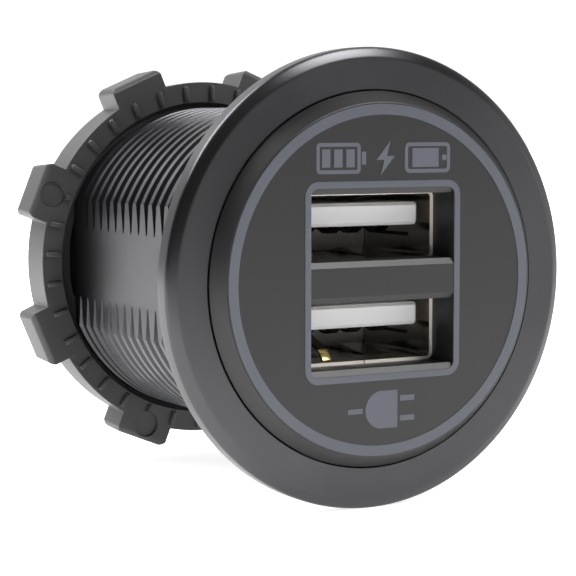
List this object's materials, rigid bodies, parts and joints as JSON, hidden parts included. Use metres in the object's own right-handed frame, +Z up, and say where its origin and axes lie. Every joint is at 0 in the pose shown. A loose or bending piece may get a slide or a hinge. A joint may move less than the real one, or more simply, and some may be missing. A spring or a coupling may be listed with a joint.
{
  "type": "car dual usb socket",
  "caption": "Panel-mount charging socket: flanged threaded barrel with ring nut, stacked ports in a round face with a light ring, blade terminals behind.",
  "frame": {"origin": "on the barrel's axis, in the plane of the flange's back face", "axes": "+Y along the barrel away from the front, which faces -Y; +Z up, with the ports one above the other; +X right seen from the front"},
  "size_m": [0.0366, 0.0467, 0.0366],
  "materials": {
    "anodised": "black anodised, satin",
    "nylon": "moulded black nylon",
    "face": "fine matt, dark grey",
    "guide": "translucent grey",
    "moulding": "moulded black",
    "shell_steel": "bright nickel plate",
    "insulator": "moulded white",
    "gilt": "gold flash",
    "board": "green solder resist on glass laminate",
    "lamp": "clear resin",
    "ferrite": "sintered, dull",
    "copper": "enamelled wire",
    "can": "shrink sleeve on aluminium",
    "resin": "moulded epoxy",
    "tinned": "tin plate"
  },
  "bodies": {
    "root": {"housing": "anodised", "lock_nut": "nylon", "face_plate": "face", "light_guide": "guide", "port_carrier": "moulding", "usb_shell_upper": "shell_steel", "usb_shell_lower": "shell_steel", "usb_tongue_upper": "insulator", "usb_tongue_lower": "insulator", "usb_contacts_upper": "gilt", "usb_contacts_lower": "gilt", "port_board": "board", "ring_leds": "lamp", "link_pins": "gilt", "converter_board": "board", "choke_core": "ferrite", "choke_winding": "copper", "input_capacitor": "can", "output_capacitor": "can", "converter_chip": "resin", "charge_chip": "resin", "flyback_diode": "resin", "chip_resistors": "resin", "rear_cap": "moulding", "terminal_positive": "tinned", "terminal_negative": "tinned"}
  },
  "joints": []
}
